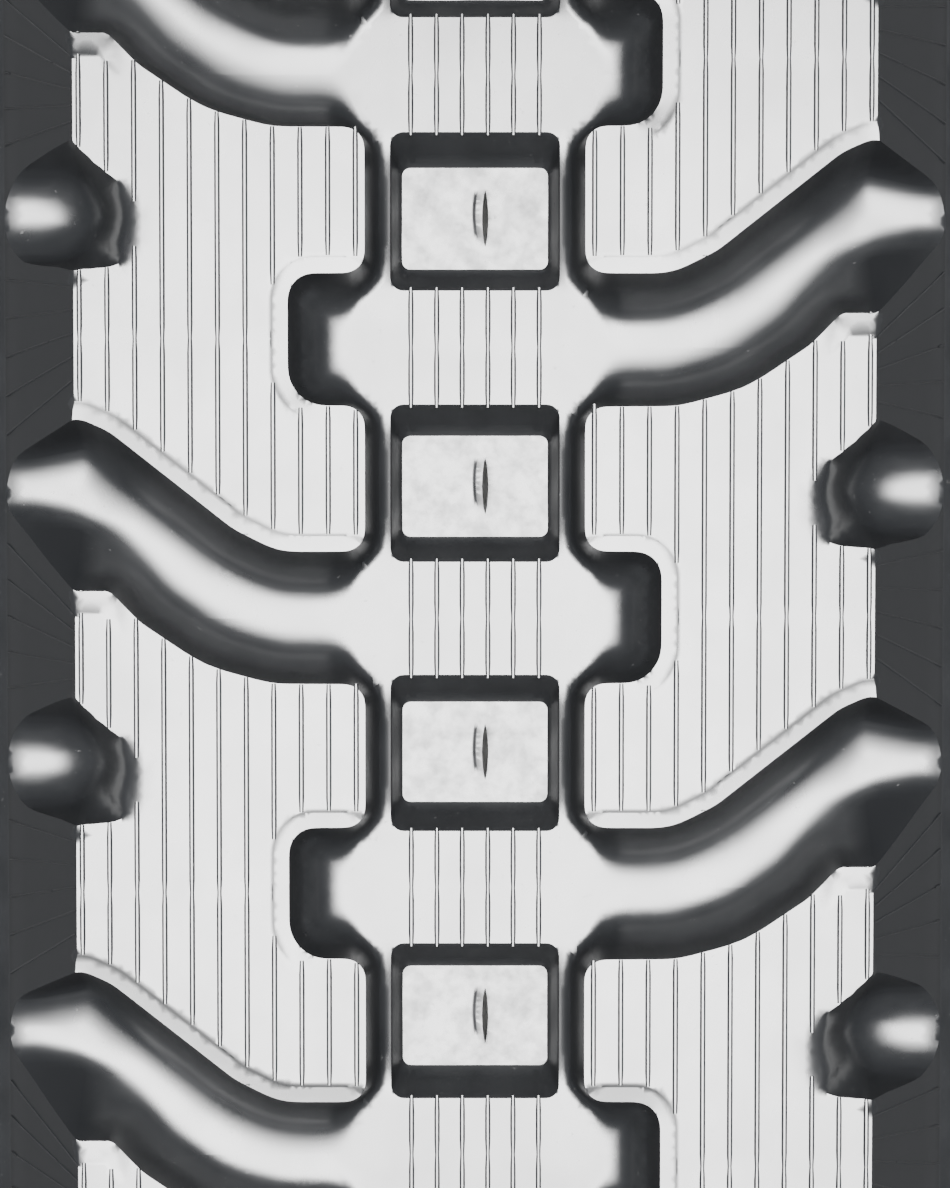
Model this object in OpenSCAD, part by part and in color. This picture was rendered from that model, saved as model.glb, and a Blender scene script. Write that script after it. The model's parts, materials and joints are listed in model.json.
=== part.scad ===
// Section of a rubber crawler track: seven links of rubber over steel cores and steel cords.
// X runs across the track, Y along it, Z up. The tread faces up and the guide horns point down.
// The origin is under the middle link, at the level of the horn tips.

/* [Track] */
// Width of the track
track_w = 320; // [300:5:350]
// Pitch: the distance from one steel core to the next
pitch = 86; // [84:0.5:92]
// Number of links in the section, an odd number
links = 7; // [3:2:7]

/* [Levels, above the horn tips] */
// Guide-side face that the rollers run on
roller_face_z = 26; // [24:0.5:28]
// Thin rubber film that closes each sprocket window
film_z = 38; // [36:0.5:39]
// Layer of steel cords, where the track bends
cord_z = 45; // [44:0.5:46]
// Tread-side face between the lugs
base_z = 54; // [52:0.5:58]
// Outer edge of the track, where the sloping shoulder outside the lugs ends
edge_z = 47.5; // [46.5:0.5:50]
// Ground face of the lugs
lug_z = 79; // [74:0.5:84]

/* [Sprocket windows] */
// Window width, across the track
window_w = 47; // [44:0.5:48]
// Window length, along the track
window_l = 32.5; // [30:0.5:38]
// Rim width at the tread-side face
rim_w = 53; // [50:0.5:56]
// Rim length at the tread-side face
rim_l = 50; // [44:0.5:54]
// Thickness of the film
film_t = 1.5; // [1:0.25:2.5]
// Width of the slit in the middle of the film
slit_w = 2; // [1:0.25:3]
// Length of the slit
slit_l = 18; // [10:1:24]
// Place of the slit, to the right of the centreline
slit_x = 3.3; // [0:0.1:6]

/* [Tread lugs] */
// Inner edge of a lug's ground face, from the centreline
lug_in_x = 34; // [32:0.5:38]
// Outer edge of a lug's ground face
lug_out_x = 124; // [120:0.5:128]
// Foot of the lug's sloping outer side
lug_foot_x = 149.5; // [145:0.5:155]
// How far a lug's wall leans outward from top to foot
wall_lean = 5.3; // [3:0.1:7]
// Radius of the scoop in a lug's outer edge, at its foot
scoop_r = 14.5; // [10:0.5:16]

/* [Steel core] */
// Overall length of a core across the track
core_l = 206; // [180:2:220]
// Width of a core's wings along the track
core_w = 30; // [24:1:34]
// Thickness of the wings
core_t = 8; // [6:0.5:8]
// Inner edge of a guide horn at its root
horn_in_x = 27; // [26.5:0.5:29]
// Outer edge of a guide horn at its root
horn_out_x = 50; // [46:0.5:54]
// Length of a horn's root along the track
horn_l = 48; // [40:1:50]

/* [Steel cords] */
// Diameter of one cord
cord_d = 3.6; // [2.5:0.1:4]
// Cords in each of the two bands
cord_n = 12; // [8:1:13]
// Distance from cord to cord
cord_step = 6; // [5:0.25:6.5]
// Innermost cord, from the centreline
cord_in_x = 46; // [42:0.5:50]

/* [Bending] */
// Largest bend between two links round a sprocket or idler
wrap_deg = 30; // [20:1:32]
// Largest bend the other way
back_deg = 8; // [4:1:10]
// Clearance between two links at the hinge line
hinge_gap = 0.4; // [0.3:0.05:0.8]

/* [Hidden] */
$fn = 48;
PARTS = ["steel_core", "guide_side_rubber", "tread_side_rubber", "left_lug", "right_lug",
         "left_cords", "right_cords", "window_film"];

e = 0.01;
half_w = track_w / 2;
half_p = pitch / 2;
// Spare angle that keeps neighbouring links apart at both ends of their travel
spare_deg = 0.6;
// Half the land between two windows, at the tread-side face
valley_h = 20.5;
// A block's ground face reaches this far past its own windows
leg_h = 22.5;
rubber = [0.09, 0.09, 0.1];
guide_rubber = [0.13, 0.13, 0.14];
film_rubber = [0.3, 0.3, 0.31];
forged_steel = [0.42, 0.42, 0.44];
cord_steel = [0.78, 0.76, 0.7];

function centre_y(k) = (k - (links + 1) / 2) * pitch;
// Links 2, 4 and 6 have the long valley on their left, the others on their right.
function long_valley(k, side) = (k % 2 == 0) == (side < 0);

// Space that one link keeps to, so that it clears its neighbours as the track bends
module link_space(k) {
  flat_back = k == 1;
  flat_front = k == links;
  top = lug_z + 5 - cord_z;
  top_in = top * tan(back_deg / 2 + spare_deg) + hinge_gap / 2;
  low_in = cord_z * tan(wrap_deg / 2 + spare_deg) + hinge_gap / 2;
  back = flat_back ? [0, 0, 0] : [low_in, hinge_gap / 2, top_in];
  front = flat_front ? [0, 0, 0] : [low_in, hinge_gap / 2, top_in];
  translate([0, centre_y(k), 0])
    rotate([90, 0, 90])
      linear_extrude(track_w + 20, center = true)
        polygon([[-half_p + back[0], 0], [half_p - front[0], 0],
                 [half_p - front[1], cord_z], [half_p - front[2], cord_z + top],
                 [-half_p + back[2], cord_z + top], [-half_p + back[1], cord_z]]);
}

// A block with sloping sides: w0 by l0 at the level z0, w1 by l1 at the level z1
module tapered_block(w0, l0, z0, w1, l1, z1) {
  intersection() {
    rotate([90, 0, 0])
      linear_extrude(max(l0, l1) + 1, center = true)
        polygon([[-w0 / 2, z0], [w0 / 2, z0], [w1 / 2, z1], [-w1 / 2, z1]]);
    rotate([90, 0, 90])
      linear_extrude(max(w0, w1) + 1, center = true)
        polygon([[-l0 / 2, z0], [l0 / 2, z0], [l1 / 2, z1], [-l1 / 2, z1]]);
  }
}

// The two windows at the ends of a link: straight below the film, flared above it
module windows(k) {
  film_top = film_z + film_t / 2;
  // The flare goes on past the tread-side face at the same slope.
  over = 1;
  rise = base_z - film_top;
  for (end = [-1, 1])
    translate([0, centre_y(k) + end * half_p, 0]) {
      translate([-window_w / 2, -window_l / 2, roller_face_z - over])
        cube([window_w, window_l, film_top - roller_face_z + over + e]);
      tapered_block(window_w, window_l, film_top,
                    rim_w + (rim_w - window_w) * over / rise, rim_l + (rim_l - window_l) * over / rise,
                    base_z + over);
    }
}

// One guide horn, on the side given
module horn(side, grow = 0) {
  root_z = roller_face_z + 8;
  mid_x = (horn_in_x + horn_out_x) / 2;
  root_w = horn_out_x - horn_in_x;
  translate([side * mid_x, 0, 0])
    tapered_block(root_w - 8, horn_l - 14, 0, root_w, horn_l, root_z);
}

// The forged core: a flat bar with rounded ends, a thick bridge and two horns
module core_shape() {
  wing_z = film_z + 1 - core_t;
  end_r = core_w / 2;
  translate([-core_l / 2 + end_r, -end_r, wing_z])
    cube([core_l - core_w, core_w, core_t]);
  for (side = [-1, 1]) {
    translate([side * (core_l / 2 - end_r), 0, wing_z])
      cylinder(r = end_r, h = core_t);
    horn(side);
  }
  bridge_l = 26;
  translate([-horn_in_x - 1, -bridge_l / 2, wing_z - 2.5])
    cube([2 * horn_in_x + 2, bridge_l, core_t + 5]);
}

module steel_core(k) {
  color(forged_steel)
    translate([0, centre_y(k), 0])
      core_shape();
}

// The cords of one band, as long as one link and a little more
module cord_band(k, side, d) {
  for (i = [0:cord_n - 1])
    translate([side * (cord_in_x + i * cord_step), centre_y(k), cord_z])
      rotate([90, 0, 0])
        cylinder(d = d, h = pitch + 2, center = true);
}

module cords(k, side) {
  color(cord_steel)
    intersection() {
      cord_band(k, side, cord_d);
      link_space(k);
    }
}

// Guide-side layer: the roller lanes, the cover of the core and the lower half of the cord layer
module guide_side_rubber(k) {
  lane_x = 76;
  lane_step = 2;
  edge_r = 8;
  edge = [for (a = [0:15:90]) [half_w - edge_r + edge_r * cos(a),
                               roller_face_z + lane_step + edge_r - edge_r * sin(a)]];
  right = concat([[half_w, cord_z]], edge,
                 [[lane_x + lane_step, roller_face_z + lane_step], [lane_x, roller_face_z]]);
  n = len(right);
  left = [for (i = [n - 1:-1:0]) [-right[i].x, right[i].y]];
  color(guide_rubber)
    difference() {
      intersection() {
        translate([0, centre_y(k), 0])
          rotate([90, 0, 0])
            linear_extrude(pitch + 2, center = true)
              polygon(concat(right, left));
        link_space(k);
      }
      windows(k);
      translate([0, centre_y(k), 0])
        core_shape();
      for (side = [-1, 1])
        cord_band(k, side, cord_d + 2 * e);
    }
}

// Tread-side layer: the upper half of the cord layer and the base of the tread
module tread_side_rubber(k) {
  edge = [[half_w, cord_z], [half_w, edge_z], [lug_foot_x, base_z]];
  left = [for (i = [2:-1:0]) [-edge[i].x, edge[i].y]];
  color(rubber)
    difference() {
      intersection() {
        translate([0, centre_y(k), 0])
          rotate([90, 0, 0])
            linear_extrude(pitch + 2, center = true)
              polygon(concat(edge, left));
        link_space(k);
      }
      windows(k);
      for (side = [-1, 1])
        cord_band(k, side, cord_d + 2 * e);
    }
}

// Film across the windows: half of it at each end of the link
module window_film(k) {
  color(film_rubber)
    intersection() {
      for (end = [-1, 1])
        translate([0, centre_y(k) + end * half_p, film_z])
          difference() {
            cube([window_w, window_l, film_t], center = true);
            translate([slit_x, 0, 0])
              cube([slit_w, slit_l, film_t + 1], center = true);
          }
      link_space(k);
    }
}

// One corner of a block: [ground face x, y, foot x, y], from the centreline and the block's middle.
// A C-shaped block reaches over two windows. Its arms close round a short valley in the middle.
// Long valleys pass under and over it, rising to the outer edge.
function block_outline() =
  let (lean = wall_lean, in_x = lug_in_x, foot_x = lug_in_x - 3,
       low = -half_p - leg_h - 0.8, high = half_p + leg_h - 0.5)
  [
    // Inner edge of the lower arm, and the edge along the valley below
    [in_x, low + 6, foot_x, low + 4],
    [in_x + 2, low + 1.8, foot_x + 3, low + 1.8 - lean],
    [in_x + 6, low, in_x + 6, low - lean],
    [in_x + 30, low, in_x + 32, low - lean],
    [lug_out_x - 7, low + 39, lug_out_x - 3.5, low + 35],
    // Outer edge, then the edge along the valley above
    [lug_out_x, low + 43, lug_foot_x, low + 58],
    [lug_out_x, high + 20.5, lug_foot_x, high + 25.8],
    [lug_out_x - 9, high + 22, lug_out_x - 8, high + 22 + lean],
    [lug_out_x - 19, high + 19.5, lug_out_x - 21, high + 19.5 + lean],
    [in_x + 37, high + 1.2, in_x + 35, high + 1.2 + lean],
    [in_x + 28, high, in_x + 28, high + lean],
    [in_x + 6, high, in_x + 6, high + lean],
    [in_x + 2, high - 1.8, foot_x + 3, high - 1.8 + lean],
    [in_x, high - 6, foot_x, high - 4],
    // Short valley between the arms
    [in_x, valley_h + 6, foot_x, valley_h + 4],
    [in_x + 2, valley_h + 1, foot_x + 3, valley_h + 1 - lean],
    [in_x + 6, valley_h - 0.8, in_x + 6, valley_h - 0.8 - lean],
    [in_x + 25, valley_h - 0.8, in_x + 16, valley_h - 0.8 - lean],
    [in_x + 30, valley_h - 6, in_x + 19, valley_h - 8 - lean],
    [in_x + 30, 6 - valley_h, in_x + 19, 8 + lean - valley_h],
    [in_x + 25, -valley_h, in_x + 16, lean - valley_h],
    [in_x + 6, -valley_h, in_x + 6, lean - valley_h],
    [in_x + 2, -valley_h - 1.8, foot_x + 3, lean - valley_h - 1.8],
    [in_x, -valley_h - 6, foot_x, -valley_h - 4],
  ];

// The ground face, cut into five simple regions: lower arm, spine in three pieces, upper arm
FACE_REGIONS = [[20, 21, 22, 23, 0, 1, 2, 3], [19, 20, 3, 4, 5], [18, 19, 5, 6], [18, 6, 7, 8, 9, 17],
                [17, 9, 10, 11, 12, 13, 14, 15, 16]];

module block() {
  corners = block_outline();
  n = len(corners);
  points = concat([for (c = corners) [c[0], c[1], lug_z]], [for (c = corners) [c[2], c[3], base_z]]);
  sides = [for (i = [0:n - 1])
             let (j = (i + 1) % n)
               for (face = [[i, j, n + j], [i, n + j, n + i]]) face];
  ground_face = [for (r = FACE_REGIONS) concat([r[0]], [for (i = [len(r) - 1:-1:1]) r[i]])];
  foot = [for (r = FACE_REGIONS) [for (i = r) n + i]];
  difference() {
    polyhedron(points = points, convexity = 6, faces = concat(ground_face, foot, sides));
    // Scoop in the outer edge, over the upper window
    translate([lug_foot_x - 19, half_p, base_z + 1])
      cylinder(r1 = scoop_r, r2 = scoop_r + 9, h = lug_z - base_z);
  }
}

// The parts of the blocks that one link carries on one side
module lug(k, side) {
  middles = long_valley(k, side) ? [k - 1, k + 1] : [k];
  color(rubber)
    intersection() {
      for (j = middles)
        translate([0, centre_y(j), 0])
          mirror([side < 0 ? 1 : 0, 0, 0])
            block();
      link_space(k);
    }
}

for (k = [1:links]) {
  steel_core(k);
  guide_side_rubber(k);
  tread_side_rubber(k);
  lug(k, -1);
  lug(k, 1);
  cords(k, -1);
  cords(k, 1);
  window_film(k);
}
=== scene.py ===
"""Looks of a rubber crawler track section. Z is up, the tread faces up, and the track runs along Y."""
import json
import math
import random

import bmesh
import bpy
import numpy as np
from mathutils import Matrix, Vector
from mathutils.geometry import delaunay_2d_cdt
from mathutils.kdtree import KDTree

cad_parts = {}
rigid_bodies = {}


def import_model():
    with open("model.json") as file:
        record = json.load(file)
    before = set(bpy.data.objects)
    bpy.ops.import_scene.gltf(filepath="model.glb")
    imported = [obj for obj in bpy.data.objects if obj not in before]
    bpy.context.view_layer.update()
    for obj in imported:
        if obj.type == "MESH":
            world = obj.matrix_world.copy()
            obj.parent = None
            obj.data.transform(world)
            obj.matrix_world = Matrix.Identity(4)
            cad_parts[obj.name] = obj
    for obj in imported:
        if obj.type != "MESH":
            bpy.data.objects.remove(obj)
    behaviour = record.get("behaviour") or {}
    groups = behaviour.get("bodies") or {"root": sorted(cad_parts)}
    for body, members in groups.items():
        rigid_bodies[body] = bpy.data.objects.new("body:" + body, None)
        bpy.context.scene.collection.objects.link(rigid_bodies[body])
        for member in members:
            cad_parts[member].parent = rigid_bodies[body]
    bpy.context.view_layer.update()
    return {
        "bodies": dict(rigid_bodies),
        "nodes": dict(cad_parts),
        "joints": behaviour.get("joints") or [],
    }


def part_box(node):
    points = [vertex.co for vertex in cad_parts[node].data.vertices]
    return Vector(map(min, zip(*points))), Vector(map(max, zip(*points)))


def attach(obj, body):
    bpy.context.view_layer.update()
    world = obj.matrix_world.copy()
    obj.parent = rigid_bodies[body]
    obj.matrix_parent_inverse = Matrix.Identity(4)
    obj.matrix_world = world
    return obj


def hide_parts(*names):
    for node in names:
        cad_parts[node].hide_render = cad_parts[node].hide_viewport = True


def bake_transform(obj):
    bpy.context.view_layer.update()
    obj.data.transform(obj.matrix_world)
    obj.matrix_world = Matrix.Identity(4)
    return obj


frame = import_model()
MM = 0.001
random.seed(7)

# ---------------------------------------------------------------- sizes, in millimetres, from the frame
links = len(frame["bodies"])
joints = sorted(frame["joints"], key=lambda j: j["pos_m"][1])
hinge_y = [j["pos_m"][1] / MM for j in joints]
pitch = hinge_y[1] - hinge_y[0]
half_pitch = pitch / 2
cord_z = joints[0]["pos_m"][2] / MM
core_y = [hinge_y[0] - half_pitch + k * pitch for k in range(links)]


def box_mm(node):
    """A CAD node's lowest and highest corners, in millimetres."""
    low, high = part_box(node)
    return [c / MM for c in low], [c / MM for c in high]


base_z = box_mm("tread_side_rubber_4")[1][2]
lug_z = box_mm("right_lug_4")[1][2]
half_width = box_mm("tread_side_rubber_4")[1][0]
lane_z = box_mm("guide_side_rubber_4")[0][2]
film_low, film_high = box_mm("window_film_4")
film_z = film_high[2]
film_t = film_high[2] - film_low[2]
film_half_w = film_high[0]
section_end = core_y[-1] + half_pitch
lug_h = lug_z - base_z

# Tread pattern
LUG_IN = 34.0
LUG_OUT = 124.3
LUG_FOOT = 149.5
BLOCK_REPEAT = 2 * pitch
CORNER = 6.0
LEDGE_W = 5.3
LEDGE_DROP = 0.7
LEDGE_STEP = 0.17
PATCH_W = 6.8
STEP_W = 0.5
WINDOW_RIM = (27.0, 25.0)
FILM_HALF = (film_half_w, 16.25)
RIB_STEP = 8.55
RIB_FIRST = 37.0
RIB_COUNT = 11
LAND_RIB_X = (4.1, 12.2, 20.4)
# Width at the foot, width on top, height
RIB_SIZE = (1.75, 0.55, 0.5)
FAN_SIZE = (0.8, 0.3, 0.3)
SCOOP_X = 130.2
SCOOP_R = 15.0
BOWL_R = 18.0


# ---------------------------------------------------------------- tread surface as a height over the plan
def rounded(points, radii, step=18):
    """An outline whose corners are replaced by arcs of the radii given."""
    out = []
    n = len(points)
    for i, (p, r) in enumerate(zip(points, radii)):
        p = np.array(p, float)
        if not r:
            out.append(p)
            continue
        a = np.array(points[i - 1], float) - p
        b = np.array(points[(i + 1) % n], float) - p
        la, lb = np.linalg.norm(a), np.linalg.norm(b)
        a, b = a / la, b / lb
        half = math.acos(max(-1, min(1, a @ b))) / 2
        cut = min(r / math.tan(half), la * 0.48, lb * 0.48)
        radius = cut * math.tan(half)
        centre = p + (a + b) / np.linalg.norm(a + b) * radius / math.sin(half)
        start, end = p + a * cut - centre, p + b * cut - centre
        turn = math.atan2(start[0] * end[1] - start[1] * end[0], start @ end)
        steps = max(2, int(abs(math.degrees(turn)) / step) + 1)
        for s in range(steps + 1):
            t = turn * s / steps
            c, sn = math.cos(t), math.sin(t)
            out.append(centre + np.array([start[0] * c - start[1] * sn, start[0] * sn + start[1] * c]))
    return np.array(out)


def block_outline():
    """Top edge of one C-shaped block, from the centreline and the block's middle. It runs on past the track's
    outer edge, where the sloping side takes over."""
    far = half_width + 25
    points = [
        # lower arm and the edge along the long valley below
        (LUG_IN, -65.6, CORNER), (61.0, -65.6, 22), (75.0, -58.6, 16), (113.5, -28.4, 14), (122.8, -24.3, 6),
        (140, -28), (far, -34),
        # along the long valley above
        (far, 94), (113.6, 94, 5), (104.0, 84.2, 8), (84.0, 70.8, 40), (63.0, 65.2, 30),
        (LUG_IN, 65.05, CORNER),
        # short valley between the arms
        (LUG_IN, 20.4, CORNER), (58.2, 20.4, 8), (58.2, -20.6, 15.5),
        (LUG_IN, -20.6, CORNER)]
    return rounded([p[:2] for p in points], [p[2] if len(p) > 2 else 0 for p in points], 12)


OUTLINE = block_outline()


def smooth(low, high, v):
    t = np.clip((v - low) / (high - low), 0, 1)
    return t * t * (3 - 2 * t)


def nearest(px, py, outline):
    """Signed distance to a closed outline, positive outside, and the outward direction."""
    a = outline
    b = np.roll(outline, -1, axis=0)
    best = np.full(px.shape, 1e9)
    nx, ny = np.zeros(px.shape), np.zeros(px.shape)
    inside = np.zeros(px.shape, bool)
    for (ax, ay), (bx, by) in zip(a, b):
        dx, dy = bx - ax, by - ay
        length2 = dx * dx + dy * dy
        if length2 < 1e-12:
            continue
        t = np.clip(((px - ax) * dx + (py - ay) * dy) / length2, 0, 1)
        qx, qy = px - ax - t * dx, py - ay - t * dy
        d2 = qx * qx + qy * qy
        closer = d2 < best
        best = np.where(closer, d2, best)
        nx, ny = np.where(closer, qx, nx), np.where(closer, qy, ny)
        if ay != by:
            crosses = (ay > py) != (by > py)
            inside ^= crosses & (px < (bx - ax) * (py - ay) / (by - ay) + ax)
    d = np.sqrt(best)
    sign = np.where(inside, -1.0, 1.0)
    d_safe = np.maximum(d, 1e-6)
    return d * sign, nx / d_safe * sign, ny / d_safe * sign


# A valley's cross-section from its flat floor up: (widest radius, slope at its end), then
# (tighter radius, wall slope)
FLOOR_CURVE = (28.0, 20.0)
FOOT_CURVE = (9.0, 77.0)
MOUTH_FLOOR = (22.0, 20.0)
MOUTH_FOOT = (8.0, 41.0)
LANE_FLOOR = (2.5, 20.0)
LANE_FOOT = (2.0, 86.0)


def rise(s, floor_curve, foot_curve):
    """Height of a wall above the floor and the wall's whole width. s runs from the floor, 0, outward."""
    (r1, a1), (r2, a2) = floor_curve, foot_curve
    a1, a2 = math.radians(a1), math.radians(a2)
    s1 = r1 * math.sin(a1)
    h1 = r1 * (1 - math.cos(a1))
    s2 = s1 + r2 * (math.sin(a2) - math.sin(a1))
    h2 = h1 + r2 * (math.cos(a1) - math.cos(a2))
    width = s2 + (lug_h - h2) / math.tan(a2)
    s = np.clip(s, 0, None)
    first = r1 - np.sqrt(np.clip(r1 ** 2 - np.minimum(s, s1) ** 2, 0, None))
    from_centre = np.clip(s, s1, s2) - s1 + r2 * math.sin(a1)
    second = h1 + r2 * math.cos(a1) - np.sqrt(np.clip(r2 ** 2 - from_centre ** 2, 0, None))
    third = h2 + (s - s2) * math.tan(a2)
    return np.where(s < s1, first, np.where(s < s2, second, third)), width


VALLEY_FLANK = float(rise(np.zeros(1), FLOOR_CURVE, FOOT_CURVE)[1])
MOUTH_FLANK = float(rise(np.zeros(1), MOUTH_FLOOR, MOUTH_FOOT)[1])
LANE_FLANK = float(rise(np.zeros(1), LANE_FLOOR, LANE_FOOT)[1])


def soft_min(a, b, k):
    h = np.clip(0.5 + 0.5 * (b - a) / k, 0, 1)
    return b * (1 - h) + a * h - k * h * (1 - h)


# The scoop in a block's outer edge. SCOOP_EDGE is the way from its lowest line to its top edge, at angles in
# degrees from the inward direction. SCOOP_LOW is where that line lies, from the scoop's middle
SCOOP_EDGE = ((-180, 17), (-90, 19.6), (-65, 22), (-55, 24), (-46, 26.5), (-37, 28.6), (-20, 26.7), (0, 25),
              (18, 23.8), (32, 21.3), (48, 20), (64, 20.4), (78, 22.3), (180, 20))
SCOOP_LOW = -2.5


def scoop_polar(x, y):
    """Distance from the scoop's lowest line, growing gently at its inner end, and the angle in degrees."""
    inward = np.maximum(SCOOP_X + 6.5 - x, 0)
    inward = inward - 4 * (1 - np.exp(-inward / 4))
    y = y - SCOOP_LOW
    nose = 0.35 * smooth(SCOOP_X + 10, SCOOP_X - 2, x) * np.exp(-(y / 9) ** 2)
    return np.hypot(inward * 0.95, y * (1 + nose)), np.degrees(np.arctan2(y, np.maximum(SCOOP_X - x, 1e-6)))


def scoop_height(x, y):
    """Height left by the scoop, with its middle at y = 0: a bowl with a rolled inner edge."""
    r, angle = scoop_polar(x, y)
    edge = np.interp(angle, [a for a, _ in SCOOP_EDGE], [d for _, d in SCOOP_EDGE])
    bowl = BOWL_R - np.sqrt(BOWL_R ** 2 - np.minimum(r, SCOOP_R) ** 2)
    bowl_h = BOWL_R - math.sqrt(BOWL_R ** 2 - SCOOP_R ** 2)
    rolled = smooth(-42, -30, angle) * (1 - smooth(10, 26, angle))
    t = (r - SCOOP_R) / (edge - SCOOP_R)
    eased = np.where(t < 1, 1 - np.clip(1 - t, 0, None) ** (1 + 0.6 * rolled), t)
    return np.where(r < SCOOP_R, bowl, bowl_h + (lug_h + 0.6 * rolled - bowl_h) * eased)


def ledge_fall(d, reach):
    """How far a ledge lies below the ground face: a small step, then a gentle slope to the edge."""
    step = LEDGE_STEP * np.clip((d + reach) / STEP_W, 0, 1)
    return step + (LEDGE_DROP - LEDGE_STEP) * np.clip(1 + d / reach, 0, 1)


# Width of the walls round the short valley between a block's arms
SHORT_VALLEY_WALL = 15.8


def block_wall(x, y):
    """Height of one block's wall over the valley floor, going on upward inside the block's edge."""
    d, _, _ = nearest(x, y, OUTLINE)
    upper = y > half_pitch
    wide_at = np.where(upper, np.interp(x, [62, 88, 104, 116, 128, 140], [19, 20.5, 21.5, 24.5, 30, 33.5]),
                       np.interp(x, [62, 88, 110, 130, 145], [19, 20, 21, 21, 19.5]))
    wide_at = np.where((np.abs(y) < 30) & (x < 70), SHORT_VALLEY_WALL, wide_at)
    lane = 1 - smooth(LUG_IN + 0.5, LUG_IN + 12, x)
    width = wide_at * (1 - lane) + LANE_FLANK * lane
    wide, _ = rise((width - d) / width * VALLEY_FLANK, FLOOR_CURVE, FOOT_CURVE)
    tight, _ = rise((width - d) / width * LANE_FLANK, LANE_FLOOR, LANE_FOOT)
    mouth, _ = rise((width - d) / width * MOUTH_FLANK, MOUTH_FLOOR, MOUTH_FOOT)
    at_mouth = smooth(106, 130, x) * upper
    return (wide * (1 - at_mouth) + mouth * at_mouth) * (1 - lane) + tight * lane


def blurred(field, spread, step, wrap):
    """A field on a grid, softened along one axis with a bell curve. wrap joins the axis's ends."""
    reach = int(3 * spread / step)
    weights = np.exp(-0.5 * (np.arange(-reach, reach + 1) * step / spread) ** 2)
    padded = np.pad(field, ((reach, reach), (0, 0)), mode="wrap" if wrap else "edge")
    total = sum(w * padded[i:i + len(field)] for i, w in enumerate(weights))
    return total / weights.sum()


# The valley walls over one repeat of the pattern, softened where two walls meet
FINE = 0.5
SOFTEN = 1.3
SOFTEN_FLOOR = 3.6
fine_x = np.arange(24, 158, FINE)
fine_y = np.arange(0, BLOCK_REPEAT, FINE)
fine_gx, fine_gy = np.meshgrid(fine_x, fine_y)
fine_walls = np.max([block_wall(fine_gx, fine_gy - m * BLOCK_REPEAT) for m in (-1, 0, 1, 2)], axis=0)
fine_walls = np.minimum(fine_walls, lug_h + 14)
soft_floor = blurred(blurred(fine_walls, SOFTEN_FLOOR, FINE, True).T, SOFTEN_FLOOR, FINE, False).T
fine_walls = blurred(blurred(fine_walls, SOFTEN, FINE, True).T, SOFTEN, FINE, False).T
floor_share = (1 - smooth(1.5, 13, fine_walls)) * smooth(37, 46, fine_gx) * (1 - smooth(110, 125, fine_gx))
fine_walls = soft_floor * floor_share + fine_walls * (1 - floor_share)


def walls(x, y):
    """Height of the valley walls, read from the softened grid."""
    u = np.clip((x - fine_x[0]) / FINE, 0, len(fine_x) - 1.001)
    v = (y % BLOCK_REPEAT) / FINE
    i, j = np.floor(v).astype(int), np.floor(u).astype(int)
    fu, fv = u - j, v - i
    i, i1 = i % len(fine_y), (i + 1) % len(fine_y)
    low = fine_walls[i, j] * (1 - fu) + fine_walls[i, j + 1] * fu
    high = fine_walls[i1, j] * (1 - fu) + fine_walls[i1, j + 1] * fu
    return np.clip(low * (1 - fv) + high * fv - 0.06, 0, None)


def block_top(x, y):
    """One block's ground face: its distance from the edge, which way that is, and the ledges' fall."""
    d, nx, ny = nearest(x, y, OUTLINE)
    # Ledges along the lower edges and round the end of the short valley, and a patch at the outer corner
    faces_down = smooth(0.3, 0.6, -ny)
    faces_in = smooth(0.3, 0.85, -nx) * (x > 50) * (np.abs(y) < half_pitch)
    ledge = np.maximum(faces_down, faces_in) * ledge_fall(d, LEDGE_W)
    patch = smooth(0.6, 0.8, ny) * smooth(108, 113, x) * (y > half_pitch) * ledge_fall(d, PATCH_W)
    return d, nx, ny, np.maximum(ledge, patch)


def side_slope(x):
    return lug_h * (LUG_FOOT - x) / (LUG_FOOT - LUG_OUT)


def side_height(x, y):
    """Height above the base on one side of the track. Block middles lie at y = 0, 2 pitches, ..."""
    middle = np.round(y / BLOCK_REPEAT) * BLOCK_REPEAT
    fall = np.zeros(x.shape)
    h = np.minimum(walls(x, y), side_slope(x))
    for shift in (-BLOCK_REPEAT, 0, BLOCK_REPEAT):
        local = y - middle - shift
        d, _, _, ledge = block_top(x, local)
        fall = np.where(d < 1.0, ledge, fall)
        scoop = scoop_height(x, local - half_pitch)
        angle = scoop_polar(x, local - half_pitch)[1]
        soft = 0.05 + 4 * smooth(-42, -30, angle) * (1 - smooth(10, 26, angle))
        near = np.abs(local - half_pitch) < 34
        capped = np.minimum(h, lug_h - fall)
        h = np.where(near, soft_min(capped, scoop, soft), h)
    return np.clip(np.minimum(h, lug_h - fall), 0, None)


def base_drop(x, y_window):
    """How far the tread-side face lies below its level: lane beside a window, shoulder and cap."""
    reach = np.clip((32.6 - x) / 5.6, 0, 1)
    lane = (0.9 * reach + 0.4 * reach ** 2) * (1 - smooth(12, 25, np.abs(y_window)))
    cap = np.clip((x - 145.3) / 4.2, 0, 1) * 0.55
    shoulder = np.clip(x - LUG_FOOT, 0, None) * 0.62
    return lane + cap + shoulder


# ---------------------------------------------------------------- guide side as a height over the plan
LANE_EDGE = 76.0
LANE_STEP = 2.0
EDGE_R = 8.0
HORN_X = (27.0, 50.0)
HORN_HALF_L = 24.0
COLLAR = 4.5


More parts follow.
